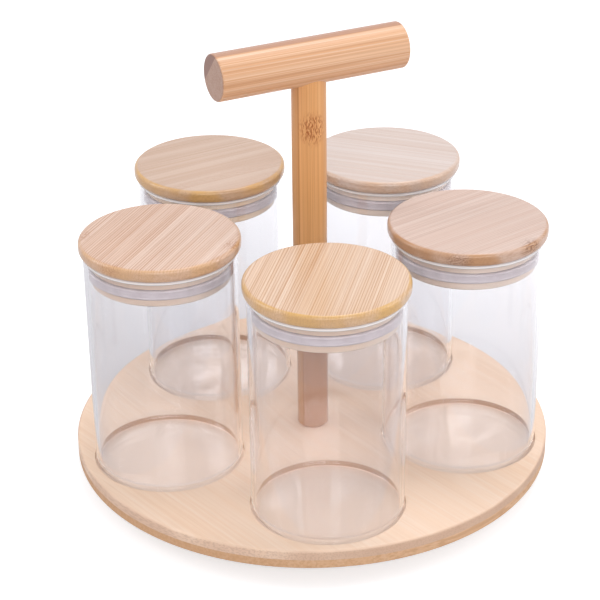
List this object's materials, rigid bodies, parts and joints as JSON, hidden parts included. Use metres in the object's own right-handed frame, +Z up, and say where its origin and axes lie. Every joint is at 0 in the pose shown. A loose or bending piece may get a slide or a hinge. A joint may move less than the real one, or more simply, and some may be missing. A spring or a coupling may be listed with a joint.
{
  "type": "rotating jar rack",
  "caption": "Round bamboo board that turns on a ring bearing and carries a circle of glass jars with bamboo plug lids round a bamboo post with a cross handle.",
  "frame": {"origin": "on the table, below the centre of the post", "axes": "+Z up along the post, -Y towards the front jar, +X to the right seen from the front"},
  "size_m": [0.25, 0.25, 0.2358],
  "materials": {
    "bamboo_board": "pale edge-glued bamboo strips, fine sanded, clear matt oil",
    "bamboo_lower_ply": "darker bamboo ply with end grain on its edge, fine sanded",
    "bamboo_lid": "pale edge-glued bamboo strips, turned and sanded, clear matt oil",
    "bamboo_post": "golden brown bamboo dowel with long fibres, satin",
    "bamboo_handle": "tan bamboo dowel of glued strips, satin",
    "glass": "clear and smooth, with a rounded matt white rim",
    "silicone": "translucent white silicone, satin",
    "aluminium": "turned, satin",
    "steel": "bright zinc-plated and polished steel",
    "nylon": "natural moulded nylon",
    "rubber": "black, matt"
  },
  "bodies": {
    "base": {"bearing_base_ring": "aluminium", "foot_pad_1": "rubber", "foot_pad_2": "rubber", "foot_pad_3": "rubber", "foot_pad_4": "rubber"},
    "ball_set": {"ball_cage": "nylon", "bearing_ball_01": "steel", "bearing_ball_02": "steel", "bearing_ball_03": "steel", "bearing_ball_04": "steel", "bearing_ball_05": "steel", "bearing_ball_06": "steel", "bearing_ball_07": "steel", "bearing_ball_08": "steel", "bearing_ball_09": "steel", "bearing_ball_10": "steel", "bearing_ball_11": "steel", "bearing_ball_12": "steel"},
    "turntable": {"bearing_top_ring": "aluminium", "ring_screw_1": "steel", "ring_screw_2": "steel", "ring_screw_3": "steel", "ring_screw_4": "steel", "board_lower_ply": "bamboo_lower_ply", "board_upper_ply": "bamboo_board", "post_screw": "steel", "post": "bamboo_post", "handle_bar": "bamboo_handle"},
    "jar_1": {"jar_1_glass": "glass"},
    "jar_2": {"jar_2_glass": "glass"},
    "jar_3": {"jar_3_glass": "glass"},
    "jar_4": {"jar_4_glass": "glass"},
    "jar_5": {"jar_5_glass": "glass"},
    "lid_1_set": {"lid_1": "bamboo_lid", "lid_1_seal": "silicone"},
    "lid_2_set": {"lid_2": "bamboo_lid", "lid_2_seal": "silicone"},
    "lid_3_set": {"lid_3": "bamboo_lid", "lid_3_seal": "silicone"},
    "lid_4_set": {"lid_4": "bamboo_lid", "lid_4_seal": "silicone"},
    "lid_5_set": {"lid_5": "bamboo_lid", "lid_5_seal": "silicone"}
  },
  "joints": [
    {"name": "turntable_spin", "type": "hinge", "parent": "base", "child": "turntable", "pos_m": [0, 0, 0.00675], "axis": [0, 0, 1], "continuous": true},
    {"name": "cage_roll", "type": "hinge", "parent": "base", "child": "ball_set", "pos_m": [0, 0, 0.00675], "axis": [0, 0, 1], "continuous": true},
    {"name": "jar_1_lift", "type": "slide", "parent": "turntable", "child": "jar_1", "axis": [0.0479, -0.4977, 0.866], "range_m": [0, 0.17]},
    {"name": "jar_2_lift", "type": "slide", "parent": "turntable", "child": "jar_2", "axis": [0.4881, -0.1082, 0.866], "range_m": [0, 0.17]},
    {"name": "jar_3_lift", "type": "slide", "parent": "turntable", "child": "jar_3", "axis": [0.2538, 0.4308, 0.866], "range_m": [0, 0.17]},
    {"name": "jar_4_lift", "type": "slide", "parent": "turntable", "child": "jar_4", "axis": [-0.3313, 0.3745, 0.866], "range_m": [0, 0.17]},
    {"name": "jar_5_lift", "type": "slide", "parent": "turntable", "child": "jar_5", "axis": [-0.4585, -0.1994, 0.866], "range_m": [0, 0.17]},
    {"name": "lid_1_lift", "type": "slide", "parent": "jar_1", "child": "lid_1_set", "axis": [0, 0, 1], "range_m": [0, 0.03]},
    {"name": "lid_2_lift", "type": "slide", "parent": "jar_2", "child": "lid_2_set", "axis": [0, 0, 1], "range_m": [0, 0.03]},
    {"name": "lid_3_lift", "type": "slide", "parent": "jar_3", "child": "lid_3_set", "axis": [0, 0, 1], "range_m": [0, 0.03]},
    {"name": "lid_4_lift", "type": "slide", "parent": "jar_4", "child": "lid_4_set", "axis": [0, 0, 1], "range_m": [0, 0.03]},
    {"name": "lid_5_lift", "type": "slide", "parent": "jar_5", "child": "lid_5_set", "axis": [0, 0, 1], "range_m": [0, 0.03]}
  ],
  "couplings": [
    {"joint": "cage_roll", "follows": "turntable_spin", "ratio": 0.48291}
  ]
}
